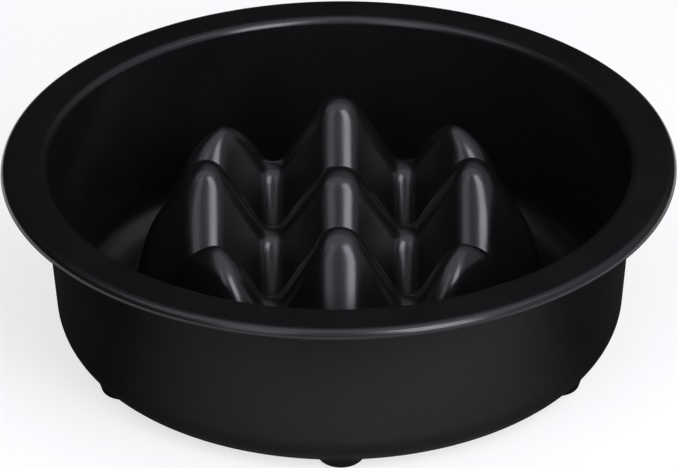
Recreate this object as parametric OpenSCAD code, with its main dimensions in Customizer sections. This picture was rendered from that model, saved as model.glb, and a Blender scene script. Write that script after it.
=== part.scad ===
// Slow feeder bowl: one moulded shell with a wide flat rim, and six rubber pads pressed into its feet.
// The floor rises inside a round trough as a field of nine peaks joined by saddles, hollow underneath.
// Z is up, z = 0 is the table, the bowl stands round the Z axis, and lengths are in millimetres.

/* [Bowl] */
// Diameter of the mouth, inside the rim
mouth_d = 219.4; // [212:0.2:250]
// Height of the rim's top above the table
bowl_h = 75; // [68:0.5:84]
// Thickness of the wall, the floor and the peaks
wall_t = 2.2; // [1.6:0.1:2.8]
// Lean of the wall from upright, in degrees
wall_draft = 3.8; // [1:0.1:6]
// Outside radius of the curve from the wall to the base
corner_r = 16.7; // [14.5:0.1:19]

/* [Rim] */
// Width of the flat rim, from the mouth to its outer edge
rim_w = 17.3; // [12:0.1:24]
// Thickness of the flat rim
rim_t = 2.4; // [1.8:0.1:3]
// Height of the rim's outer edge, which turns down
rim_edge_h = 3.6; // [3.2:0.1:8]
// Thickness of that edge
rim_edge_t = 2.6; // [1.8:0.1:4]
// Radius along the top of the outer edge
rim_round = 2.4; // [1:0.1:3]
// Radius along the foot of the outer edge
rim_foot_round = 0.6; // [0.3:0.1:0.8]
// Radius round the mouth
mouth_round = 3; // [1:0.1:4]

/* [Peaks] */
// Spacing of the three rows and three columns of peaks
peak_pitch = 51.1; // [47:0.1:52.5]
// Depth of the outer peaks' tips below the rim's top
peak_below_rim = 3; // [1:0.1:8]
// Drop of the middle peak below the others
centre_drop = 3.6; // [0:0.1:6]
// Drop from a peak to the saddle beside it
saddle_drop = 29.8; // [24:0.1:31]
// Radius over the crests
crest_r = 8.5; // [6:0.1:10]
// Radius in the valleys
valley_r = 5; // [3.5:0.1:6]

/* [Outside of the field] */
// Distance from the outer crests to the cone that trims the corners, at the rim's level
shoulder_out = 8.2; // [6:0.1:11]
// Distance from the outer crests to the steep skirt, carried up to the rim's level
skirt_out = 15.1; // [13:0.1:17]
// Lean of the skirt from upright, in degrees
skirt_draft = 14; // [10:0.5:15]
// Height over which the crests round off into the shoulder
shoulder_blend = 23.2; // [12:0.1:26]
// Height over which the shoulder rounds off into the skirt
skirt_blend = 3.3; // [1:0.1:8]
// Height over which the skirt curves out into the floor
foot_blend = 8; // [5:0.1:10]

/* [Feet] */
// Radius of each moulded foot
boss_r = 8.8; // [8:0.1:10]
// Rounding of the foot's lower edge
boss_round = 2; // [0.5:0.1:2.4]
// Depth of the foot below the base
boss_proud = 0.5; // [0.2:0.1:2]
// Distance of the feet's centres outside the flat part of the base
foot_out = 2.3; // [0:0.1:3]
// Radius of the rubber pad
pad_r = 6; // [4:0.1:6.4]
// Gap between the pad and its socket, all round
pad_gap = 0.1; // [0.05:0.05:0.2]
// Depth of the pad's socket in the foot
socket_depth = 1.4; // [0.8:0.1:1.5]
// Depth of the pad below the foot
pad_proud = 0.7; // [0.4:0.1:1.5]
// Rounding of the pad's lower edge
pad_round = 0.3; // [0.1:0.1:0.4]

/* [Hidden] */

// Overrun of the cuts past the faces that they open
cut = 1;
// Steps along each rounded corner of a turned outline
round_cuts = 10;
$fn = 96;

// Heights above the table
boss_z = pad_proud;
base_z = boss_z + boss_proud;
floor_z = base_z + wall_t;

// The corner between wall and base turns round one centre, inside and out
corner_z = base_z + corner_r;
corner_x = outer_r(corner_z) - corner_r / cos(wall_draft);
mouth_z = bowl_h - mouth_round;
mouth_x = inner_r(mouth_z) + mouth_round / cos(wall_draft);
rim_r = mouth_d / 2 + rim_w;
foot_ring_r = corner_x + foot_out;

function inner_r(z) = mouth_d / 2 - (bowl_h - z) * tan(wall_draft);
function outer_r(z) = inner_r(z) + wall_t / cos(wall_draft);
function arc(x, z, r, from, to) =
    [for (i = [0:round_cuts]) let (a = from + (to - from) * i / round_cuts) [x + r * cos(a), z + r * sin(a)]];

// Outside of the bowl, from the axis along the base, up the wall, and round the rim
function outer_outline() = concat(
    [[0, base_z]],
    arc(corner_x, corner_z, corner_r, -90, -wall_draft),
    [
        [outer_r(bowl_h - rim_t), bowl_h - rim_t],
        [rim_r - rim_edge_t, bowl_h - rim_t],
        [rim_r - rim_edge_t, bowl_h - rim_edge_h]
    ],
    arc(rim_r - rim_foot_round, bowl_h - rim_edge_h + rim_foot_round, rim_foot_round, -90, 0),
    arc(rim_r - rim_round, bowl_h - rim_round, rim_round, 0, 90),
    [[0, bowl_h]]
);

// Inside of the bowl, with the round hole in the floor that the field of peaks fills
function inner_outline() = concat(
    [[0, base_z - cut], [hole_r, base_z - cut], [hole_r, floor_z]],
    arc(corner_x, corner_z, corner_r - wall_t, -90, -wall_draft),
    arc(mouth_x, mouth_z, mouth_round, 180 - wall_draft, 90),
    [[mouth_x, bowl_h + cut], [0, bowl_h + cut]]
);

// A crest or valley turns into the straight flank at the flank's angle, which the saddle's drop sets
half_pitch = peak_pitch / 2;
bend_r = crest_r + valley_r;
flank_a = atan2(saddle_drop - bend_r, half_pitch) + asin(bend_r / norm([saddle_drop - bend_r, half_pitch]));
crest_run = crest_r * sin(flank_a);
crest_fall = crest_r * (1 - cos(flank_a));
valley_run = valley_r * sin(flank_a);

// One row of crests seen end on: round crests a pitch apart, with straight flanks and round valleys
function wave(t) =
    let (
        side = abs(t),
        off_crest = abs(side - peak_pitch * min(round(side / peak_pitch), 1)),
        off_valley = half_pitch - off_crest
    )
    off_crest < crest_run ? sqrt(crest_r * crest_r - off_crest * off_crest) - crest_r
    : side < peak_pitch && off_valley < valley_run
        ? valley_r - saddle_drop - sqrt(valley_r * valley_r - off_valley * off_valley)
    : -crest_fall - tan(flank_a) * (off_crest - crest_run);

// Share of the middle peak's drop that applies at a distance from its axis
function hump(t) = abs(t) < half_pitch ? (1 + cos(360 * t / peak_pitch)) / 2 : 0;

// The lower or the higher of two heights, with a parabola over the height k where they cross
function soft_min(a, b, k) = min(a, b) - pow(max(k - abs(a - b), 0), 2) / (4 * k);
function soft_max(a, b, k) = -soft_min(-a, -b, k);

// Rows and columns add up to peaks, saddles and pockets
function ridges(x, y) =
    bowl_h - peak_below_rim + wave(x) + wave(y) - centre_drop * hump(x) * hump(y);

// Round outside of the field: a cone as steep as the flanks, then the skirt down to the floor
function skirt(r) = soft_min(
    bowl_h - (r - peak_pitch - shoulder_out) * tan(flank_a),
    bowl_h - (r - peak_pitch - skirt_out) / tan(skirt_draft),
    skirt_blend
);

// The field ends just inside the floor's thickness, which it joins
lap = wall_t / 20;
function field_top(x, y) = soft_max(
    soft_min(ridges(x, y), skirt(norm([x, y])), shoulder_blend),
    floor_z - lap,
    foot_blend
);

// The underside keeps the wall's thickness, measured square to the surface
grade_step = wall_t / 20;
function grade(x, y) = [
    field_top(x + grade_step, y) - field_top(x - grade_step, y),
    field_top(x, y + grade_step) - field_top(x, y - grade_step)
] / (2 * grade_step);
function field_under(x, y) = max(base_z + lap, field_top(x, y) - wall_t * norm(concat([1], grade(x, y))));

// Grid lines of the field: close together over crests and valleys, far apart on the inner flanks
crest_cuts = 3;
valley_cuts = 4;
inner_flank_cuts = 1;
outer_flank_cuts = 4;
function steps(from, to, n) = [for (i = [0:n - 1]) from + (to - from) * i / n];
right_lines = concat(
    steps(0, crest_run, crest_cuts),
    steps(crest_run, half_pitch - valley_run, inner_flank_cuts),
    steps(half_pitch - valley_run, half_pitch + valley_run, valley_cuts),
    steps(half_pitch + valley_run, peak_pitch - crest_run, outer_flank_cuts),
    steps(peak_pitch - crest_run, peak_pitch, crest_cuts),
    [peak_pitch]
);
lines = concat([for (i = [len(right_lines) - 1:-1:1]) -right_lines[i]], right_lines);
side_cuts = len(lines) - 1;

// Outside the square of the outer crests, rings of points turn the square into the skirt's round foot
skirt_foot_r = peak_pitch + skirt_out + (bowl_h - floor_z) * tan(skirt_draft);
field_r = skirt_foot_r + (foot_blend + lap) * tan(skirt_draft);
// The hole in the floor ends under the skirt, and never reaches into the feet
hole_r = min(skirt_foot_r - wall_t / 2, foot_ring_r - boss_r);
round_r = skirt_foot_r - foot_blend * tan(skirt_draft);
skirt_rings = 8;
foot_rings = 4;
rings = skirt_rings + foot_rings;
edge_cuts = 4 * side_cuts;

function edge_cell(q) =
    let (side = floor(q / side_cuts), i = q % side_cuts)
    side == 0 ? [i, 0] : side == 1 ? [side_cuts, i] : side == 2 ? [side_cuts - i, side_cuts] : [0, side_cuts - i];
function edge_point(q) = let (c = edge_cell(q)) [lines[c.x], lines[c.y]];
function ring_radius(k, r) =
    k <= skirt_rings ? r + (round_r - r) * k / skirt_rings
    : round_r + (field_r - round_r) * (k - skirt_rings) / foot_rings;
function ring_point(k, q) = let (p = edge_point(q), r = norm(p)) p * ring_radius(k, r) / r;

plan = concat(
    [for (j = [0:side_cuts], i = [0:side_cuts]) [lines[i], lines[j]]],
    [for (k = [1:rings], q = [0:edge_cuts - 1]) ring_point(k, q)]
);
heights = [for (p = plan) field_top(p.x, p.y)];
grid_count = (side_cuts + 1) * (side_cuts + 1);
function at_cell(i, j) = i + j * (side_cuts + 1);
function at_ring(k, q) =
    let (w = q % edge_cuts, c = edge_cell(w))
    k == 0 ? at_cell(c.x, c.y) : grid_count + (k - 1) * edge_cuts + w;

// Two triangles over four corners, split along the diagonal that lies closer to the surface
function bulge(a, c) =
    let (m = (plan[a] + plan[c]) / 2) abs(field_top(m.x, m.y) - (heights[a] + heights[c]) / 2);
function halves(a, b, c, d) = bulge(a, c) < bulge(b, d) ? [[a, d, c], [a, c, b]] : [[b, a, d], [b, d, c]];
top_faces = concat(
    [for (j = [0:side_cuts - 1], i = [0:side_cuts - 1])
        each halves(at_cell(i, j), at_cell(i + 1, j), at_cell(i + 1, j + 1), at_cell(i, j + 1))],
    [for (k = [0:rings - 1], q = [0:edge_cuts - 1])
        each halves(at_ring(k, q), at_ring(k + 1, q), at_ring(k + 1, q + 1), at_ring(k, q + 1))]
);
under_faces = [for (f = top_faces) [f[0], f[2], f[1]] + len(plan) * [1, 1, 1]];
edge_faces = [for (q = [0:edge_cuts - 1])
    let (a = at_ring(rings, q), b = at_ring(rings, q + 1)) [a, b, b + len(plan), a + len(plan)]];

// The moulded feet, and the pads that fill their sockets
foot_angles = [-90, -30, 30, 90, 150, 210];
boss_top = corner_z - sqrt(corner_r * corner_r - pow(foot_out + boss_r, 2)) + cut / 2;
socket_r = pad_r + pad_gap;

module at_foot(angle) {
    rotate(angle)
        translate([foot_ring_r, 0, 0])
            children();
}

// A disc with a rounded lower edge
module button(r, round, low, high) {
    rotate_extrude()
        polygon(concat([[0, low]], arc(r - round, low + round, round, -90, 0), [[r, high], [0, high]]));
}

module peak_field() {
    polyhedron(
        points = concat(
            [for (i = [0:len(plan) - 1]) [plan[i].x, plan[i].y, heights[i]]],
            [for (p = plan) [p.x, p.y, field_under(p.x, p.y)]]
        ),
        faces = concat(top_faces, under_faces, edge_faces)
    );
}

module bowl() {
    color("#17171a") {
        difference() {
            union() {
                rotate_extrude()
                    polygon(outer_outline());
                for (angle = foot_angles)
                    at_foot(angle)
                        button(boss_r, boss_round, boss_z, boss_top);
            }
            rotate_extrude()
                polygon(inner_outline());
            for (angle = foot_angles)
                at_foot(angle)
                    translate([0, 0, boss_z - cut])
                        cylinder(r = socket_r, h = socket_depth + cut);
        }
        peak_field();
    }
}

module foot_pad(angle) {
    color("#242426")
        at_foot(angle)
            button(pad_r, pad_round, 0, boss_z + socket_depth);
}

bowl();
foot_pad(foot_angles[0]);  // foot_front
foot_pad(foot_angles[1]);  // foot_front_right
foot_pad(foot_angles[2]);  // foot_back_right
foot_pad(foot_angles[3]);  // foot_back
foot_pad(foot_angles[4]);  // foot_back_left
foot_pad(foot_angles[5]);  // foot_front_left
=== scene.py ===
# %% [markdown]
# # A slow feeder bowl in black moulded plastic
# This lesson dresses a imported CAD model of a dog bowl, so that its render looks like the real thing.
# The bowl is one injection moulding. It has a flat rim, a steep wall and a floor that rises as nine
# peaks, and it stands on six rubber pads. We load the CAD model as a fixed frame, place the camera,
# shape the field of peaks with Geometry Nodes, turn the shell round it, and then make two materials.

# %% Load the CAD frame
import math

import bmesh
import bpy
from mathutils import Matrix, Vector


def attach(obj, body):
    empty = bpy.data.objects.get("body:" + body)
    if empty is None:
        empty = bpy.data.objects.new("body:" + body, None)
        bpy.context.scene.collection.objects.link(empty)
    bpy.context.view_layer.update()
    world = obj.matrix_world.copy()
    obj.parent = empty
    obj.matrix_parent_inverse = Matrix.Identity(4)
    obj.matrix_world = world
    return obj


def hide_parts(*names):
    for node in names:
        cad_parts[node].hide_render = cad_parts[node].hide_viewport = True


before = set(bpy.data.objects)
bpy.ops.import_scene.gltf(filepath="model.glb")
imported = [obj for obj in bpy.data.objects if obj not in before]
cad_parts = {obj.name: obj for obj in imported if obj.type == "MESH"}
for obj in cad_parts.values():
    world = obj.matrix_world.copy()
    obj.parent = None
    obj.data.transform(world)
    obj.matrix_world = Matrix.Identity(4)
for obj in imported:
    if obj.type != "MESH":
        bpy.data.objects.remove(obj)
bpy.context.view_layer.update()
print("CAD nodes:", ", ".join(sorted(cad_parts)))

# %% [markdown]
# ## Camera
# The photo was taken from the front, about 30 degrees above the table, with a long lens: the near and
# the far edge of the rim look almost equally wide. The camera could be placed by eye. Here its height,
# distance and lens come from a fit to the rim's outline, which also showed a tilt of half a degree.

# %% Camera
PHOTO_PX = (679, 468)
AXIS_PX = (339.19, 234.0)
PX_PER_RADIAN = 4194.9
SENSOR_MM = 36
ELEVATION, TILT = math.radians(30.55), math.radians(-0.476)
DISTANCE = 1.595
AIM = Vector((0, 0, 0.04002))

lens = bpy.data.cameras.new("long_lens")
lens.sensor_width = SENSOR_MM
lens.lens = PX_PER_RADIAN * SENSOR_MM / PHOTO_PX[0]
lens.shift_x = (PHOTO_PX[0] / 2 - AXIS_PX[0]) / PHOTO_PX[0]
lens.shift_y = (AXIS_PX[1] - PHOTO_PX[1] / 2) / PHOTO_PX[0]
camera = bpy.data.objects.new("camera", lens)
bpy.context.scene.collection.objects.link(camera)
back = Vector((0, -math.cos(ELEVATION), math.sin(ELEVATION)))
upright = back.to_track_quat("Z", "Y").to_matrix()
camera.location = AIM + back * DISTANCE
camera.rotation_euler = (upright @ Matrix.Rotation(TILT, 3, "Z")).to_euler()
bpy.context.scene.camera = camera
print(f"lens {lens.lens:.1f} mm, camera at", [round(c, 4) for c in camera.location])

# %% [markdown]
# ## The bowl's sizes
# The looks are built in the CAD model's own frame, in metres, so each piece lands where the CAD says.
# The script can't read the CAD source, so it repeats the sizes that it needs, in millimetres. One
# differs: the rim's upper edge is 2.9 mm round here and 2.4 mm in the CAD, because the photo shows a
# wider band of light on it. And the rim ends a hair (0.04 mm) inside the CAD's own many-sided circle.

# %% Sizes
MM = 0.001
PITCH, BELOW_RIM, CENTRE_DROP, SADDLE_DROP = 51.1 * MM, 3 * MM, 3.6 * MM, 29.8 * MM
CREST_R, VALLEY_R = 8.5 * MM, 5 * MM
SHOULDER_OUT, SKIRT_OUT, SKIRT_DRAFT = 8.2 * MM, 15.1 * MM, math.radians(14)
SHOULDER_BLEND, SKIRT_BLEND, FOOT_BLEND = 23.2 * MM, 3.3 * MM, 8 * MM
BOWL_H, MOUTH_R, WALL_T = 75 * MM, 109.7 * MM, 2.2 * MM
WALL_DRAFT, CORNER_R = math.radians(3.8), 16.7 * MM
RIM_W, RIM_T, RIM_EDGE_H, RIM_EDGE_T = 17.3 * MM, 2.4 * MM, 3.6 * MM, 2.6 * MM
RIM_ROUND, RIM_FOOT_ROUND, MOUTH_ROUND = 2.9 * MM, 0.6 * MM, 3 * MM
RIM_INSET = 0.04 * MM
BOSS_Z, BASE_Z = 0.7 * MM, 1.2 * MM
BOSS_R, BOSS_ROUND, FOOT_OUT = 8.8 * MM, 2 * MM, 2.3 * MM
SOCKET_R, SOCKET_DEPTH = 6.1 * MM, 1.4 * MM
FLOOR_Z = BASE_Z + WALL_T
FIELD_R, HOLLOW_R, HOLLOW_LIP = 86.4 * MM, 83.8 * MM, 0.7 * MM
rim_r = MOUTH_R + RIM_W - RIM_INSET
print(f"rim {2 * rim_r / MM:.2f} mm across, floor {FLOOR_Z / MM:.1f} mm up")

# %% [markdown]
# ## One helper for every node
# Geometry trees and materials are both graphs of nodes. One function adds a node: it takes the node's
# kind, what goes into its sockets (a number, a colour or another node's output) and its settings. It
# gives back the output socket, ready to go into the next node.

# %% Node helper
def add(tree, kind, inputs=(), out=0, **settings):
    """Adds a node; inputs are values or output sockets, in a list by place or a dict by socket."""
    node = tree.nodes.new(kind)
    for name, value in settings.items():
        setattr(node, name, value)
    for place, value in (inputs.items() if isinstance(inputs, dict) else enumerate(inputs)):
        if isinstance(value, bpy.types.NodeSocket):
            tree.links.new(value, node.inputs[place])
        else:
            node.inputs[place].default_value = value
    return None if out is None else node.outputs[out]

# %% [markdown]
# ## The field of peaks as a rule
# Seen end on, a row of peaks is a wave: round crests, straight flanks and round valleys. Two such waves
# at right angles, added together, give peaks where crests meet, saddles between two peaks and pockets
# between four. The peaks could be sculpted, or modelled once and copied, but then the saddles would
# have to be patched in between. A rule gives them all at once, and every size stays adjustable.
#
# The rule is written as small groups of Math nodes. Each row below is one node: the name of its result,
# its operation, and what goes in.

# %% Groups of sums
def group_of_sums(name, names, sums, result):
    """A node group that takes named numbers and works out one number, one node for each sum."""
    tree = bpy.data.node_groups.new(name, "GeometryNodeTree")
    for n in names:
        tree.interface.new_socket(n, in_out="INPUT", socket_type="NodeSocketFloat")
    tree.interface.new_socket(result, in_out="OUTPUT", socket_type="NodeSocketFloat")
    given = tree.nodes.new("NodeGroupInput")
    known = {n: given.outputs[n] for n in names}
    for made, operation, *values in sums:
        values = [known.get(v, v) for v in values]
        if isinstance(operation, str):
            known[made] = add(tree, "ShaderNodeMath", values, operation=operation)
        else:
            known[made] = add(tree, "GeometryNodeGroup", values, node_tree=operation)
    tree.links.new(known[result], tree.nodes.new("NodeGroupOutput").inputs[0])
    print(f"{name}: {len(sums)} sums")
    return tree

# %% [markdown]
# The wave has its top at each crest and goes down from there. A point is first measured from the crest
# that is nearest to it. There are three crests, so beyond the outer ones the last crest stays the
# nearest. An arc makes the crest, a straight fall makes the flank, and another arc fills the valley.

# %% The wave of one row
WAVE_SIZES = ["Pitch", "Crest radius", "Valley radius", "Flank angle"]
crest_wave = group_of_sums("Crest wave", ["Across", *WAVE_SIZES], [
    # The distance from the nearest crest
    ("side", "ABSOLUTE", "Across"),
    ("turns", "DIVIDE", "side", "Pitch"),
    ("nearest", "ROUND", "turns"),
    ("nearest crest", "MINIMUM", "nearest", 1),
    ("crest at", "MULTIPLY", "nearest crest", "Pitch"),
    ("from crest", "SUBTRACT", "side", "crest at"),
    ("off crest", "ABSOLUTE", "from crest"),
    ("sine", "SINE", "Flank angle"),
    ("cosine", "COSINE", "Flank angle"),
    ("slope", "TANGENT", "Flank angle"),
    # The crest's arc, and the straight fall past it
    ("crest run", "MULTIPLY", "Crest radius", "sine"),
    ("on crest", "MINIMUM", "off crest", "crest run"),
    ("crest square", "MULTIPLY", "Crest radius", "Crest radius"),
    ("run square", "MULTIPLY", "on crest", "on crest"),
    ("square left", "SUBTRACT", "crest square", "run square"),
    ("arc height", "SQRT", "square left"),
    ("arc", "SUBTRACT", "arc height", "Crest radius"),
    ("past crest", "SUBTRACT", "off crest", "on crest"),
    ("fall", "MULTIPLY", "past crest", "slope"),
    ("crest", "SUBTRACT", "arc", "fall"),
    # The valley's arc, which lifts the fall close to the middle between two crests
    ("half pitch", "MULTIPLY", "Pitch", 0.5),
    ("to valley", "SUBTRACT", "half pitch", "off crest"),
    ("outside", "GREATER_THAN", "side", "Pitch"),
    ("off valley", "MULTIPLY_ADD", "outside", "Pitch", "to valley"),
    ("valley run", "MULTIPLY", "Valley radius", "sine"),
    ("in valley", "MINIMUM", "off valley", "valley run"),
    ("valley square", "MULTIPLY", "Valley radius", "Valley radius"),
    ("in square", "MULTIPLY", "in valley", "in valley"),
    ("valley left", "SUBTRACT", "valley square", "in square"),
    ("bowl height", "SQRT", "valley left"),
    ("bowl edge", "MULTIPLY", "Valley radius", "cosine"),
    ("bowl rise", "SUBTRACT", "bowl edge", "bowl height"),
    ("short of run", "SUBTRACT", "valley run", "in valley"),
    ("filling", "MULTIPLY_ADD", "short of run", "slope", "bowl rise"),
    ("Wave", "ADD", "crest", "filling"),
], "Wave")

# %% [markdown]
# Two heights that cross leave a sharp line. "Soft step" is the height of the parabola that rounds it:
# taken off the lower of the two it rounds a ridge, and added to the higher of the two it rounds a
# valley. The field uses it three times: crests into the shoulder, shoulder into the skirt, and skirt
# into the floor.

# %% Soft step
soft_step = group_of_sums("Soft step", ["A", "B", "Over"], [
    ("difference", "SUBTRACT", "A", "B"),
    ("gap", "ABSOLUTE", "difference"),
    ("room", "SUBTRACT", "Over", "gap"),
    ("near", "MAXIMUM", "room", 0),
    ("near square", "MULTIPLY", "near", "near"),
    ("four", "MULTIPLY", "Over", 4),
    ("Step", "DIVIDE", "near square", "four"),
], "Step")

# %% [markdown]
# The field's height puts the rule together. The flank's angle could be a size of its own, but it
# follows from the drop between a peak and a saddle, which is easier to measure in a photo.

# %% The field's height
FIELD_SIZES = {
    "Pitch": PITCH, "Crest radius": CREST_R, "Valley radius": VALLEY_R, "Saddle drop": SADDLE_DROP,
    "Peak height": BOWL_H - BELOW_RIM, "Centre drop": CENTRE_DROP,
    "Rim height": BOWL_H, "Floor height": FLOOR_Z,
    "Shoulder out": SHOULDER_OUT, "Skirt out": SKIRT_OUT, "Skirt draft": SKIRT_DRAFT,
    "Shoulder blend": SHOULDER_BLEND, "Skirt blend": SKIRT_BLEND, "Foot blend": FOOT_BLEND,
}
field_height = group_of_sums("Field height", ["X", "Y", *FIELD_SIZES], [
    # The flank's angle, from how far a saddle lies below a peak
    ("bend", "ADD", "Crest radius", "Valley radius"),
    ("straight drop", "SUBTRACT", "Saddle drop", "bend"),
    ("half pitch", "MULTIPLY", "Pitch", 0.5),
    ("chord angle", "ARCTAN2", "straight drop", "half pitch"),
    ("drop square", "MULTIPLY", "straight drop", "straight drop"),
    ("chord square", "MULTIPLY_ADD", "half pitch", "half pitch", "drop square"),
    ("chord", "SQRT", "chord square"),
    ("bend share", "DIVIDE", "bend", "chord"),
    ("bend angle", "ARCSINE", "bend share"),
    ("flank angle", "ADD", "chord angle", "bend angle"),
    ("slope", "TANGENT", "flank angle"),
    # Two waves at right angles
    ("along x", crest_wave, "X", "Pitch", "Crest radius", "Valley radius", "flank angle"),
    ("along y", crest_wave, "Y", "Pitch", "Crest radius", "Valley radius", "flank angle"),
    ("both", "ADD", "along x", "along y"),
    ("all peaks", "ADD", "both", "Peak height"),
    # The middle peak is a little lower: a cosine hump is taken off it
    ("turn x", "DIVIDE", "X", "Pitch"),
    ("turn y", "DIVIDE", "Y", "Pitch"),
    ("near x", "MINIMUM", "turn x", 0.5),
    ("near y", "MINIMUM", "turn y", 0.5),
    ("middle x", "MAXIMUM", "near x", -0.5),
    ("middle y", "MAXIMUM", "near y", -0.5),
    ("angle x", "MULTIPLY", "middle x", math.tau),
    ("angle y", "MULTIPLY", "middle y", math.tau),
    ("cosine x", "COSINE", "angle x"),
    ("cosine y", "COSINE", "angle y"),
    ("hump x", "MULTIPLY_ADD", "cosine x", 0.5, 0.5),
    ("hump y", "MULTIPLY_ADD", "cosine y", 0.5, 0.5),
    ("hump", "MULTIPLY", "hump x", "hump y"),
    ("lowered", "MULTIPLY", "hump", "Centre drop"),
    ("peaks", "SUBTRACT", "all peaks", "lowered"),
    # The outside: a cone for the shoulder and a steep one for the skirt
    ("x square", "MULTIPLY", "X", "X"),
    ("r square", "MULTIPLY_ADD", "Y", "Y", "x square"),
    ("r", "SQRT", "r square"),
    ("off crests", "SUBTRACT", "r", "Pitch"),
    ("off shoulder", "SUBTRACT", "off crests", "Shoulder out"),
    ("shoulder fall", "MULTIPLY", "off shoulder", "slope"),
    ("shoulder", "SUBTRACT", "Rim height", "shoulder fall"),
    ("off skirt", "SUBTRACT", "off crests", "Skirt out"),
    ("skirt slope", "TANGENT", "Skirt draft"),
    ("skirt fall", "DIVIDE", "off skirt", "skirt slope"),
    ("skirt", "SUBTRACT", "Rim height", "skirt fall"),
    # The lowest of them all, but no lower than the floor, with three soft steps
    ("outer low", "MINIMUM", "shoulder", "skirt"),
    ("outer step", soft_step, "shoulder", "skirt", "Skirt blend"),
    ("outside", "SUBTRACT", "outer low", "outer step"),
    ("body low", "MINIMUM", "peaks", "outside"),
    ("body step", soft_step, "peaks", "outside", "Shoulder blend"),
    ("body", "SUBTRACT", "body low", "body step"),
    ("floor high", "MAXIMUM", "body", "Floor height"),
    ("floor step", soft_step, "body", "Floor height", "Foot blend"),
    ("Height", "ADD", "floor high", "floor step"),
], "Height")

# %% [markdown]
# ## The field of peaks as a mesh
# A square grid is bent into a disc, so that its edge is a true circle that the shell can meet. The top
# face of the field is that disc lifted by the rule. The underside is a second, coarser disc, and it
# lies one wall thickness below, measured square to the surface: dividing the thickness by how upright
# the normal stands gives that distance straight down. The peaks are hollow, as in the real moulding.

# %% The field's sockets
tree = bpy.data.node_groups.new("Field of peaks", "GeometryNodeTree")
lengths = {
    **FIELD_SIZES, "Wall thickness": WALL_T, "Base height": BASE_Z,
    "Top disc radius": FIELD_R, "Hollow radius": HOLLOW_R, "Hollow lip": HOLLOW_LIP,
}
cell_counts = {"Top cells": 160, "Underside cells": 84}
sockets = {}
for kind, names in (("Float", lengths), ("Int", cell_counts), ("Material", ["Material"])):
    for n in names:
        sockets[n] = tree.interface.new_socket(n, in_out="INPUT", socket_type=f"NodeSocket{kind}")
tree.interface.new_socket("Geometry", in_out="OUTPUT", socket_type="NodeSocketGeometry")
given = tree.nodes.new("NodeGroupInput").outputs
place = add(tree, "GeometryNodeInputPosition")
print(f"{len(lengths)} lengths and angles, {len(cell_counts)} counts")

# %% Two discs lifted by the rule
discs = []
for radius, cells in (("Top disc radius", "Top cells"), ("Hollow radius", "Underside cells")):
    points = add(tree, "ShaderNodeMath", [given[cells], 1], operation="ADD")
    grid = add(tree, "GeometryNodeMeshGrid", [2, 2, points, points])
    u, v = (add(tree, "ShaderNodeSeparateXYZ", [place], out=axis) for axis in "XY")
    bent = []
    for along, across in ((u, v), (v, u)):
        # A square from -1 to 1 becomes a disc: along * sqrt(1 - across ** 2 / 2)
        square = add(tree, "ShaderNodeMath", [across, across], operation="MULTIPLY")
        left = add(tree, "ShaderNodeMath", [square, -0.5, 1], operation="MULTIPLY_ADD")
        share = add(tree, "ShaderNodeMath", [left], operation="SQRT")
        scaled = add(tree, "ShaderNodeMath", [share, given[radius]], operation="MULTIPLY")
        bent.append(add(tree, "ShaderNodeMath", [along, scaled], operation="MULTIPLY"))
    plan = add(tree, "ShaderNodeCombineXYZ", bent)
    disc = add(tree, "GeometryNodeSetPosition", {"Geometry": grid, "Position": plan})
    x, y = (add(tree, "ShaderNodeSeparateXYZ", [place], out=axis) for axis in "XY")
    sizes = [given[n] for n in FIELD_SIZES]
    height = add(tree, "GeometryNodeGroup", [x, y, *sizes], node_tree=field_height)
    lifted = add(tree, "ShaderNodeCombineXYZ", [x, y, height])
    discs.append(add(tree, "GeometryNodeSetPosition", {"Geometry": disc, "Position": lifted}))
print(f"{len(discs)} discs")

# %% One wall thickness below, and both together
normal_z = add(tree, "ShaderNodeSeparateXYZ", [add(tree, "GeometryNodeInputNormal")], out="Z")
x, y, z = (add(tree, "ShaderNodeSeparateXYZ", [place], out=axis) for axis in "XYZ")
base = given["Base height"]
down = add(tree, "ShaderNodeMath", [given["Wall thickness"], normal_z], operation="DIVIDE")
below = add(tree, "ShaderNodeMath", [z, down], operation="SUBTRACT")
higher = add(tree, "ShaderNodeMath", [below, base], operation="MAXIMUM")
lip = add(tree, "GeometryNodeGroup", [below, base, given["Hollow lip"]], node_tree=soft_step)
under_z = add(tree, "ShaderNodeMath", [higher, lip], operation="ADD")
sunk = add(tree, "ShaderNodeCombineXYZ", [x, y, under_z])
under = add(tree, "GeometryNodeSetPosition", {"Geometry": discs[1], "Position": sunk})
under = add(tree, "GeometryNodeFlipFaces", [under])
both = tree.nodes.new("GeometryNodeJoinGeometry")
for part in (under, discs[0]):
    tree.links.new(part, both.inputs[0])
real = add(tree, "GeometryNodeRealizeInstances", [both.outputs[0]])
painted = add(tree, "GeometryNodeSetMaterial", {"Geometry": real, "Material": given["Material"]})
tree.links.new(painted, tree.nodes.new("NodeGroupOutput").inputs[0])
print(f"field tree: {len(tree.nodes)} nodes")

# %% [markdown]
# The tree runs on an empty mesh. Its sizes are set by each socket's identifier before the object is
# first evaluated. The evaluated result then becomes a plain mesh, so that the shell can be joined to it.

# %% Run the tree
plastic = bpy.data.materials.new("moulded_polypropylene")
host = bpy.data.objects.new("field_host", bpy.data.meshes.new("field_host"))
bpy.context.scene.collection.objects.link(host)
modifier = host.modifiers.new("field", "NODES")
modifier.node_group = tree
for n, value in {**lengths, **cell_counts, "Material": plastic}.items():
    modifier[sockets[n].identifier] = value
bpy.context.view_layer.update()
graph = bpy.context.evaluated_depsgraph_get()
field_mesh = bpy.data.meshes.new_from_object(host.evaluated_get(graph), depsgraph=graph)
bpy.data.objects.remove(host)
top = max(v.co.z for v in field_mesh.vertices)
print(f"field: {len(field_mesh.polygons)} faces, top {top / MM:.2f} mm")

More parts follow.
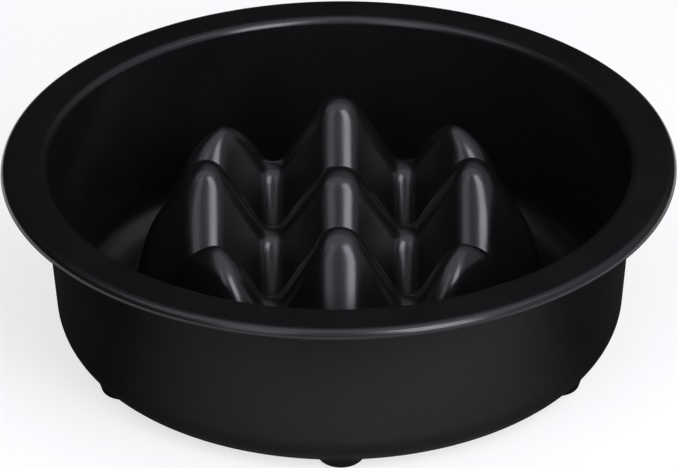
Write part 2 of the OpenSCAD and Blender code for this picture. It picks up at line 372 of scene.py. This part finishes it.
# %% [markdown]
# ## The shell's outline
# Rim, wall and floor are one outline turned round the axis. Lathe-like shapes can be made with the
# Screw modifier, but here the rings have to meet the disc of peaks and leave room for the feet, so they
# are made one by one. An outline is a list of radius and height. Close to each arc, a long straight
# side gets one extra point, which keeps the shading of the flat faces flat.

# %% Outline helpers
def arc(x, z, r, start, end, steps):
    """Points on a round corner, from one angle in degrees to another."""
    angles = [math.radians(start + (end - start) * i / steps) for i in range(steps + 1)]
    return [(x + r * math.cos(a), z + r * math.sin(a)) for a in angles]

def held(points, pull=0.25 * MM, long_side=2.5 * MM):
    """The same outline with a point close to each end of every long straight side."""
    made = [points[0]]
    for a, b in zip(points, points[1:]):
        side = Vector(b) - Vector(a)
        if side.length > long_side:
            step = side.normalized() * pull
            made += [tuple(Vector(a) + step), tuple(Vector(b) - step)]
        made.append(b)
    return made

def inner_r(z):
    """The inside of the wall, which leans outwards."""
    return MOUTH_R - (BOWL_H - z) * math.tan(WALL_DRAFT)

# %% Outline
SPOKES = 600
FLOOR_GAP, BASE_GAP = 1 * MM, 0.35 * MM  # from the field's two edges to the outline's two ends
WINDOW_TOP = -36  # the feet's windows start this many degrees round the lower corner
lean = math.degrees(WALL_DRAFT)
corner_z = BASE_Z + CORNER_R
corner_x = inner_r(corner_z) + (WALL_T - CORNER_R) / math.cos(WALL_DRAFT)
mouth_z = BOWL_H - MOUTH_ROUND
mouth_x = inner_r(mouth_z) + MOUTH_ROUND / math.cos(WALL_DRAFT)
edge_z, under_rim_z = BOWL_H - RIM_EDGE_H, BOWL_H - RIM_T
neck_r = inner_r(under_rim_z) + WALL_T / math.cos(WALL_DRAFT)
above = held(
    [(FIELD_R + FLOOR_GAP, FLOOR_Z)]
    + arc(corner_x, corner_z, CORNER_R - WALL_T, -90, -lean, steps=14)
    + arc(mouth_x, mouth_z, MOUTH_ROUND, 180 - lean, 90, steps=10)
    + arc(rim_r - RIM_ROUND, BOWL_H - RIM_ROUND, RIM_ROUND, 90, 0, steps=10)
    + arc(rim_r - RIM_FOOT_ROUND, edge_z + RIM_FOOT_ROUND, RIM_FOOT_ROUND, 0, -90, steps=5)
    + [(rim_r - RIM_EDGE_T, edge_z), (rim_r - RIM_EDGE_T, under_rim_z), (neck_r, under_rim_z)]
    + arc(corner_x, corner_z, CORNER_R, -lean, WINDOW_TOP, steps=7)
)
below = held(
    arc(corner_x, corner_z, CORNER_R, WINDOW_TOP, -90, steps=13)
    + [(HOLLOW_R + BASE_GAP, BASE_Z)]
)
print(f"{len(above)} rings above the feet and {len(below)} beside them, {SPOKES} corners each")

# %% [markdown]
# ## The moulded feet
# Six round feet stand out of the corner between wall and base, 60 degrees apart. A foot could be a
# cylinder joined with a Boolean, but that leaves a sharp crease and long thin faces, and a moulding has
# a soft root there. So the shell leaves a window at each foot, and a patch of rings fills it: a socket
# for the pad, a flat lip, a rounded edge, a steep side, and a root that runs into the shell.

# %% A foot's surface
FOOT_ANGLES = (-90, -30, 30, 90, 150, -150)  # degrees, with the front foot at -90
STEEP = math.radians(76)  # how far a foot's side is turned up from level
BOSS_DRAW = 0.2 * MM  # how far the side comes in below the foot's full radius
ROOT_BLEND = 2.4 * MM
LIP_HOLD = (0.2 * MM, 0.15 * MM)  # rings that keep the flat lip flat
ROUND_STEPS = 8
foot_r = corner_x + FOOT_OUT
flat_r = BOSS_R - BOSS_ROUND - BOSS_DRAW
side_r = flat_r + BOSS_ROUND * math.sin(STEEP)

def foot_z(d, r):
    """Height d from a foot's centre and r from the bowl's axis: the lower of foot and shell, rounded."""
    shell = corner_z - math.sqrt(CORNER_R ** 2 - max(r - corner_x, 0) ** 2)
    on_round = min(max(d - flat_r, 0), side_r - flat_r)
    edge = BOSS_Z + BOSS_ROUND - math.sqrt(BOSS_ROUND ** 2 - on_round ** 2)
    foot = edge + max(d - side_r, 0) * math.tan(STEEP)
    over = min(ROOT_BLEND, shell - BOSS_Z)
    return min(shell, foot) - max(over - abs(shell - foot), 0) ** 2 / (4 * over)

round_turns = [math.radians(90 * i / ROUND_STEPS) for i in range(ROUND_STEPS + 1)]
rounding = [flat_r + (side_r - flat_r) * math.sin(a) for a in round_turns]
patch_rings = [SOCKET_R + LIP_HOLD[0], flat_r - LIP_HOLD[1], *rounding]
print(f"feet on a circle {foot_r / MM:.1f} mm from the axis, side starts {side_r / MM:.2f} mm out")

# %% [markdown]
# ## One mesh for the moulding
# Rings of corners are linked by quads. Where two rings have different numbers of corners, as between
# the disc of peaks and the floor, a zip of triangles joins them on a flat face, where it can't be seen.

# %% Zip and windows
HALF_WINDOW = 14  # spokes from the middle of a foot's window to its side
foot_spokes = [round((a + 180) / 360 * SPOKES) % SPOKES for a in FOOT_ANGLES]

def zipped(mesh, one, two):
    """Triangles between two rings whose corners are sorted by angle."""
    turns = [[math.atan2(v.co.y, v.co.x) for v in ring] for ring in (one, two)]
    turns = [t + [t[0] + math.tau] for t in turns]
    i = j = 0
    while i < len(one) or j < len(two):
        a, b = one[i % len(one)], two[j % len(two)]
        if j == len(two) or (i < len(one) and turns[0][i + 1] < turns[1][j + 1]):
            i += 1
            mesh.faces.new((a, one[i % len(one)], b))
        else:
            j += 1
            mesh.faces.new((a, two[j % len(two)], b))

def in_window(s):
    """Whether a spoke lies inside the window of a foot."""
    return any(abs((s - f + SPOKES // 2) % SPOKES - SPOKES // 2) < HALF_WINDOW for f in foot_spokes)

def turn_of_spoke(s):
    """The angle at which a spoke stands, in radians."""
    return math.tau * s / SPOKES - math.pi

print("feet at spokes", foot_spokes)

# %% The field's two edges
mesh = bmesh.new()
mesh.from_mesh(field_mesh)
turn_of = {v: math.atan2(v.co.y, v.co.x) for v in mesh.verts if v.is_boundary}
between = (FIELD_R + HOLLOW_R) / 2
field_edge = sorted((v for v in turn_of if v.co.xy.length > between), key=turn_of.get)
hollow_edge = sorted((v for v in turn_of if v.co.xy.length < between), key=turn_of.get)
lift = max(v.co.z for v in hollow_edge)
print(f"edges: {len(field_edge)} corners above, {len(hollow_edge)} below, lifted {lift / MM:.2f} mm")
for v in hollow_edge:
    v.co.z = BASE_Z

# %% The shell's rings
outline = above + below[1:]
window_top, window_foot = len(above) - 1, len(outline) - 1
rings = []
for i, (r, z) in enumerate(outline):
    has_windows = window_top < i < window_foot
    rings.append([
        None if has_windows and in_window(s) else mesh.verts.new((r * math.cos(a), r * math.sin(a), z))
        for s, a in enumerate(map(turn_of_spoke, range(SPOKES)))
    ])
for i, (one, two) in enumerate(zip(rings, rings[1:])):
    for s in range(SPOKES):
        t = (s + 1) % SPOKES
        if i < window_top or not (in_window(s) or in_window(t)):
            mesh.faces.new((one[s], one[t], two[t], two[s]))
zipped(mesh, field_edge, rings[0])
zipped(mesh, hollow_edge, rings[-1])
print(f"{len(rings)} rings, {len(mesh.faces)} faces without the feet")

# %% [markdown]
# A foot's patch has as many spokes as its window has corners. Each loop of the patch lies further from
# the foot's centre: the socket's floor and side, then the lip and the rounding, all true circles. The
# loops of the root go over step by step into the window's four-sided border.

# %% Feet in the windows
ROOT_SHARES = (0.03, 0.07, 0.13, 0.21, 0.31, 0.43, 0.58, 0.77)
SOCKET_HOLD = 0.25 * MM
socket_z = BOSS_Z + SOCKET_DEPTH
for f in foot_spokes:
    left, right = (f - HALF_WINDOW) % SPOKES, (f + HALF_WINDOW) % SPOKES
    across = [(left + k) % SPOKES for k in range(2 * HALF_WINDOW + 1)]
    border = [rings[-1][s] for s in across]
    border += [ring[right] for ring in rings[-2:window_top:-1]]
    border += [rings[window_top][s] for s in reversed(across)]
    border += [ring[left] for ring in rings[window_top + 1:-1]]
    turn = turn_of_spoke(f)
    centre = Vector((foot_r * math.cos(turn), foot_r * math.sin(turn)))
    spokes = [v.co.xy - centre for v in border]
    ways = [s.normalized() for s in spokes]
    loops = [
        [mesh.verts.new((*(centre + w * d), z)) for w in ways]
        for d, z in ((SOCKET_R - SOCKET_HOLD, socket_z), (SOCKET_R, socket_z), (SOCKET_R, BOSS_Z))
    ]
    distances = [[d] * len(ways) for d in patch_rings]
    distances += [[side_r + (s.length - side_r) * share for s in spokes] for share in ROOT_SHARES]
    for loop in distances:
        points = [centre + w * d for w, d in zip(ways, loop)]
        loops.append([mesh.verts.new((*p, foot_z(d, p.length))) for p, d in zip(points, loop)])
    loops.append(border)
    for one, two in zip(loops, loops[1:]):
        for k in range(len(border)):
            n = (k + 1) % len(border)
            mesh.faces.new((one[k], one[n], two[n], two[k]))
    hub = mesh.verts.new((*centre, socket_z))
    for k in range(len(border)):
        mesh.faces.new((hub, loops[0][k], loops[0][(k + 1) % len(border)]))
print(f"{len(foot_spokes)} feet, {len(border)} spokes each")

# %% [markdown]
# With all faces in place, their normals are made to point outwards. The whole moulding is shaded smooth,
# but edges sharper than 40 degrees stay crisp, as at the sockets and under the rim. A bevel could do
# that too, but the roundings are already in the outline.

# %% Finish the moulding
SHARP_ANGLE = math.radians(40)
bmesh.ops.recalc_face_normals(mesh, faces=mesh.faces)
open_edges = sum(not e.is_manifold for e in mesh.edges)
volume = mesh.calc_volume() / MM ** 3
print(f"moulding: {len(mesh.faces)} faces, {open_edges} open edges, {volume:.0f} mm3")
shell_mesh = bpy.data.meshes.new("moulded_bowl")
mesh.to_mesh(shell_mesh)
mesh.free()
shell_mesh.shade_smooth()
shell_mesh.set_sharp_from_angle(angle=SHARP_ANGLE)
moulded_bowl = bpy.data.objects.new("moulded_bowl", shell_mesh)
bpy.context.scene.collection.objects.link(moulded_bowl)

# %% [markdown]
# ## Where hands and tongues rub
# A moulding is polished where it is touched: along the rim's outer edge, round the mouth and on the
# tips of the peaks. A vertex attribute marks those places, and the material reads it by name. It could
# be painted by hand, but here it follows from the shape, and it moves with it if a size changes.

# %% Rubbed edges
RIM_RUB, MOUTH_RUB = 1.6 * MM, 2.5 * MM  # how far the rub reaches to each side
TIP_RUB, TIP_FADE = 4 * MM, 6 * MM  # how far down the tips it starts, and over what height it grows
MOUTH_MOST, TIP_MOST = 0.6, 0.5
rub = shell_mesh.attributes.new("rub", "FLOAT", "POINT")
rim_line = rim_r - 0.4 * RIM_ROUND  # where hands meet the upper edge's rounding
tip_start = BOWL_H - BELOW_RIM - CENTRE_DROP - TIP_RUB
for v in shell_mesh.vertices:
    r, z = v.co.xy.length, v.co.z
    rim = 1 - abs(r - rim_line) / RIM_RUB if z > BOWL_H - 2 * RIM_ROUND else 0
    mouth = 1 - abs(r - MOUTH_R) / MOUTH_RUB if z > BOWL_H - 2 * MOUTH_ROUND else 0
    tip = (z - tip_start) / TIP_FADE if r < FIELD_R else 0
    rub.data[v.index].value = max(0, min(1, rim), min(MOUTH_MOST, mouth), min(TIP_MOST, tip))
print("rubbed corners:", sum(d.value > 0.1 for d in rub.data))

# %% [markdown]
# ## Two materials
# **Moulded polypropylene.** Black colour goes through the whole plastic, so there is no paint layer. Its
# surface copies a lightly blasted steel mould: a satin gloss with a grain of about 0.2 mm. The real IOR
# is 1.49. At 2.6 pixels a millimetre such a grain is too fine to see, so the bump has it at 0.8 mm and
# very shallow. Roughness wanders by a few hundredths over some centimetres, as flow lines leave it, and
# flecks of 1.6 mm, as from handling, break the gloss up a little more. A picture of such a surface could
# be wrapped round the bowl, but noise in the object's own space has no seam and doesn't stretch on peaks.

# %% Colours, sizes and empty trees
def linear(hex_colour):
    """A colour written as #rrggbb in sRGB, as the linear colour that a shader wants."""
    parts = [int(hex_colour[i:i + 2], 16) / 255 for i in (1, 3, 5)]
    return [c / 12.92 if c <= 0.04045 else ((c + 0.055) / 1.055) ** 2.4 for c in parts] + [1]

def per_mm(size_mm):
    """A noise scale whose features are about that many millimetres wide."""
    return 1000 / size_mm

def fresh_nodes(owner):
    """The empty node tree of a material or a world."""
    owner.use_nodes = True
    owner.node_tree.nodes.clear()
    return owner.node_tree

print("noise scale for features of 1 mm:", per_mm(1))

# %% Moulded polypropylene
BLACK, WORN_BLACK = (linear("#0d0d0e"), linear("#101011")), linear("#18181a")
GRAIN, FLOW, FLECK = (0.8, 3, 0.6), (22, 2, 0.5), (1.6, 2, 0.7)  # millimetres, detail, roughness
NOISE_SPAN = {1: 0.3, 2: 0.7}  # most of a noise lies between these
GLOSS = {3: 0.19, 4: 0.24}
FLECK_DEPTH, POLISH, WEAR = 0.05, -0.05, 0.5
nodes = fresh_nodes(plastic)
where = add(nodes, "ShaderNodeTexCoord", out="Object")
grain, flow, fleck = (
    add(nodes, "ShaderNodeTexNoise", {
        "Vector": where, "Scale": per_mm(size), "Detail": detail, "Roughness": roughness,
    }) for size, detail, roughness in (GRAIN, FLOW, FLECK)
)
rubbed = add(nodes, "ShaderNodeAttribute", out="Fac", attribute_name="rub")
# Sockets 1 and 2 of Map Range are the range that comes in, 3 and 4 the one that goes out
rough = add(nodes, "ShaderNodeMapRange", {0: flow, **NOISE_SPAN, **GLOSS})
speckled = add(nodes, "ShaderNodeMath", [fleck, FLECK_DEPTH, rough], operation="MULTIPLY_ADD")
polished = add(nodes, "ShaderNodeMath", [rubbed, POLISH, speckled], operation="MULTIPLY_ADD")
shade = add(nodes, "ShaderNodeMapRange", {0: flow, **NOISE_SPAN, 3: 0, 4: 1})
# Sockets 6 and 7 of Mix are its two colours, and output 2 is the mixed one
body = add(nodes, "ShaderNodeMix", {0: shade, 6: BLACK[0], 7: BLACK[1]}, out=2, data_type="RGBA")
worn = add(nodes, "ShaderNodeMath", [rubbed, WEAR], operation="MULTIPLY")
colour = add(nodes, "ShaderNodeMix", {0: worn, 6: body, 7: WORN_BLACK}, out=2, data_type="RGBA")
bump = add(nodes, "ShaderNodeBump", {"Height": grain, "Strength": 0.12, "Distance": 0.03 * MM})
shader = add(nodes, "ShaderNodeBsdfPrincipled", {
    "Base Color": colour, "Roughness": polished, "IOR": 1.49, "Normal": bump,
})
add(nodes, "ShaderNodeOutputMaterial", {"Surface": shader}, out=None)
print(f"{plastic.name}: {len(nodes.nodes)} nodes")

# %% [markdown]
# **Moulded rubber.** The pads are a thermoplastic rubber: a dull grey-black, because its rough surface
# scatters the light that the plastic would mirror. Dust lies on it in patches of 1.2 mm, and pores of
# half a millimetre roughen it. One plain colour could do for pieces this small, but seen from close by
# they would then look like more of the plastic.

# %% Moulded rubber
GREY_BLACK = (linear("#1e1e20"), linear("#2b2b2d"))
DUST, PORES = (1.2, 4, 0.7), (0.5, 2, 0.6)  # millimetres, detail, roughness
DULL = {3: 0.68, 4: 0.84}
rubber = bpy.data.materials.new("moulded_rubber")
nodes = fresh_nodes(rubber)
where = add(nodes, "ShaderNodeTexCoord", out="Object")
dust, pores = (
    add(nodes, "ShaderNodeTexNoise", {
        "Vector": where, "Scale": per_mm(size), "Detail": detail, "Roughness": roughness,
    }) for size, detail, roughness in (DUST, PORES)
)
colour = add(nodes, "ShaderNodeMix", {0: dust, 6: GREY_BLACK[0], 7: GREY_BLACK[1]}, out=2, data_type="RGBA")
rough = add(nodes, "ShaderNodeMapRange", {0: dust, **NOISE_SPAN, **DULL})
bump = add(nodes, "ShaderNodeBump", {"Height": pores, "Strength": 0.4, "Distance": 0.08 * MM})
shader = add(nodes, "ShaderNodeBsdfPrincipled", {
    "Base Color": colour, "Roughness": rough, "IOR": 1.52, "Normal": bump,
})
add(nodes, "ShaderNodeOutputMaterial", {"Surface": shader}, out=None)
print(f"{rubber.name}: {len(nodes.nodes)} nodes")

# %% [markdown]
# ## Hand the pieces to the frame
# The moulding rides on the model's one body and stands for the CAD bowl. The six pads are already right
# in the CAD model, so they stay and only get their rubber.

# %% Hand over
shell_mesh.materials.append(plastic)
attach(moulded_bowl, "root")
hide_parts("bowl")
pads = [node for name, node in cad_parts.items() if name.startswith("foot_")]
for pad in pads:
    pad.data.materials.clear()
    pad.data.materials.append(rubber)
print("pads:", len(pads))

# %% [markdown]
# ## Floor
# The photo's background is plain white. The floor is white paper: the lamps alone would leave it grey,
# so a glow is added, and only the bowl's shadow stays darker. Gloss mirrors that white as well, as the
# bright lower half of the rim's edge shows. Close to the bowl it doesn't: the walls in the photo mirror
# the bowl's own shade there, deepest beside the foot, with a dim pool of light in front and a little to
# the right. The photo doesn't show the back, which gets the same pool.

# %% White background
WHITE = linear("#ffffff")

def background_rays(tree, gloss):
    """The share of the white background that a ray sees: all for the camera and through glass."""
    ray = tree.nodes.new("ShaderNodeLightPath").outputs
    seen_through = [ray["Is Camera Ray"], ray["Is Transmission Ray"]]
    through = add(tree, "ShaderNodeMath", seen_through, operation="MAXIMUM")
    return add(tree, "ShaderNodeMath", [ray["Is Glossy Ray"], gloss, through], operation="MULTIPLY_ADD")

# %% What gloss sees of the floor: painted shade and painted pools of light
# The floor colour that every ray except the camera's sees near the bowl is painted light: painted shade,
# deepest beside the foot, and two painted pools of light, one in front and one behind.
WHITE_PAST_PAINTED_SHADE = {1: 0.222, 2: 0.252, 3: 0.02, 4: 1}  # metres from the axis, share of the white
PAINTED_POOL_OVAL = (0.95, 2.2, 1)  # the pools are longer from side to side
PAINTED_POOL_FRONT, PAINTED_POOL_BEHIND = (0.025, -0.297, 0), (0, 0.297, 0)
PAINTED_POOL = {1: 0, 2: 0.23, 3: 0.5, 4: 0.015}  # metres from a pool's middle, how light the floor is
PAINTED_SHADE_BESIDE = {1: 0.105, 2: 0.13, 3: 0.4, 4: 1}  # metres from the axis, share of that light
EASED = {"interpolation_type": "SMOOTHSTEP"}
sheet = bpy.data.materials.new("white_paper_with_painted_light")
nodes = fresh_nodes(sheet)
where = add(nodes, "ShaderNodeTexCoord", out="Object")
from_bowl = add(nodes, "ShaderNodeVectorMath", [where], out="Value", operation="LENGTH")
# Beyond this distance gloss sees the white background. Closer in it sees the painted shade and the painted
# pools of light.
clear = add(nodes, "ShaderNodeMapRange", {0: from_bowl, **WHITE_PAST_PAINTED_SHADE}, **EASED)
oval = add(nodes, "ShaderNodeVectorMath", [where, PAINTED_POOL_OVAL], operation="MULTIPLY")
in_front, behind = (
    add(nodes, "ShaderNodeVectorMath", [oval, spot], out="Value", operation="DISTANCE")
    for spot in (PAINTED_POOL_FRONT, PAINTED_POOL_BEHIND)
)
from_painted_pool = add(nodes, "ShaderNodeMath", [in_front, behind], operation="MINIMUM")
# A painted pool of light on the floor, darkened beside the foot by painted shade.
painted_pool = add(nodes, "ShaderNodeMapRange", {0: from_painted_pool, **PAINTED_POOL}, **EASED)
painted_shade_beside = add(nodes, "ShaderNodeMapRange", {0: from_bowl, **PAINTED_SHADE_BESIDE}, **EASED)
painted_floor_light = add(nodes, "ShaderNodeMath", [painted_pool, painted_shade_beside], operation="MULTIPLY")
painted_light_sheet = add(nodes, "ShaderNodeBsdfDiffuse", {"Color": painted_floor_light})
print(f"{sheet.name}: {len(nodes.nodes)} nodes for the shade")

# %% [markdown]
# The camera sees white paper: a pale diffuse sheet that takes the bowl's shadow, and a glow on top. All
# other rays see the sheet with its painted shade and painted pools of light, so the floor throws little
# light back at the bowl. Two floors, one for each kind of ray, would do the same, but one material keeps
# them in one place.

# %% White paper
PAPER, PAPER_GLOW = linear("#a0a0a0"), 0.7
FLOOR_HALF = 4
paper = add(nodes, "ShaderNodeBsdfDiffuse", {"Color": PAPER})
glow = add(nodes, "ShaderNodeEmission", {"Color": WHITE, "Strength": PAPER_GLOW})
lit = add(nodes, "ShaderNodeAddShader", [paper, glow])
mixed = add(nodes, "ShaderNodeMixShader", [background_rays(nodes, clear), painted_light_sheet, lit])
add(nodes, "ShaderNodeOutputMaterial", {"Surface": mixed}, out=None)

floor_mesh = bpy.data.meshes.new("floor")
corners = [(x * FLOOR_HALF, y * FLOOR_HALF, 0) for x, y in ((-1, -1), (1, -1), (1, 1), (-1, 1))]
floor_mesh.from_pydata(corners, [], [(0, 1, 2, 3)])
floor_mesh.materials.append(sheet)
floor = bpy.data.objects.new("floor", floor_mesh)
bpy.context.scene.collection.objects.link(floor)
print(f"floor: {2 * FLOOR_HALF} m square")

# %% [markdown]
# ## Light
# Black gloss plastic shows almost no colour of its own: what the eye reads as its shape is the room,
# mirrored at four per cent. So the light was worked out from the photo's own reflections. Each peak
# shows two upright stripes, a strong one and a weak one: two tall softboxes stand right and left of the
# camera. A wide one hangs above, and a tent of cloth fades from the front right to almost black behind.

# %% Softboxes
COOL = linear("#f3f2ff")
SOFTBOXES = (  # azimuth and elevation in degrees, distance, width and height in metres, radiance
    ("softbox_right", 31, 34, 1.3, 0.5, 1.05, 6.8),
    ("softbox_left", -27, 34, 1.3, 0.46, 1.05, 1.3),
    ("softbox_above", 0, 76, 1.2, 2.4, 0.9, 0.75),
)

def direction(azimuth, elevation):
    """Unit vector towards an azimuth (0 in front, 90 on the right) and an elevation."""
    a, e = math.radians(azimuth), math.radians(elevation)
    return Vector((math.sin(a) * math.cos(e), -math.cos(a) * math.cos(e), math.sin(e)))

for name, azimuth, elevation, distance, width, height, radiance in SOFTBOXES:
    light = bpy.data.lights.new(name, "AREA")
    light.shape = "RECTANGLE"
    light.size, light.size_y = width, height
    light.energy = radiance * math.pi * width * height
    light.color = COOL[:3]
    lamp = bpy.data.objects.new(name, light)
    bpy.context.scene.collection.objects.link(lamp)
    lamp.visible_camera = False
    lamp.location = direction(azimuth, elevation) * distance
    lamp.rotation_euler = direction(azimuth, elevation).to_track_quat("Z", "Y").to_euler()
    print(f"{name}: {light.energy:.1f} W")

# %% [markdown]
# The tent could be a big white sphere lit from outside, which would take many more samples. Here it is
# the world itself: its brightness grows smoothly with how much a direction faces the bright side. The
# rim's flat top mirrors the far side and is dark in the photo, so gloss sees only a hundredth of the
# white background there.

# %% Tent
TENT_BRIGHT_SIDE = (0.35, -0.45, 0.82)
TENT = {1: 0, 2: 0.75, 3: 0.01, 4: 0.6}  # how much a direction faces that side, and its brightness
WHITE_IN_GLOSS = 0.01
world = bpy.data.worlds.new("tent")
nodes = fresh_nodes(world)
sky = add(nodes, "ShaderNodeTexCoord", out="Generated")
facing = add(nodes, "ShaderNodeVectorMath", [sky, TENT_BRIGHT_SIDE], out="Value", operation="DOT_PRODUCT")
tent = add(nodes, "ShaderNodeMapRange", {0: facing, **TENT}, **EASED)
dim = add(nodes, "ShaderNodeBackground", {"Color": COOL, "Strength": tent})
white = add(nodes, "ShaderNodeBackground", {"Color": WHITE, "Strength": 1})
mixed = add(nodes, "ShaderNodeMixShader", [background_rays(nodes, WHITE_IN_GLOSS), dim, white])
add(nodes, "ShaderNodeOutputWorld", {"Surface": mixed}, out=None)
bpy.context.scene.world = world
bpy.context.scene.view_settings.view_transform = "Standard"
print(f"{world.name}: {len(nodes.nodes)} nodes")
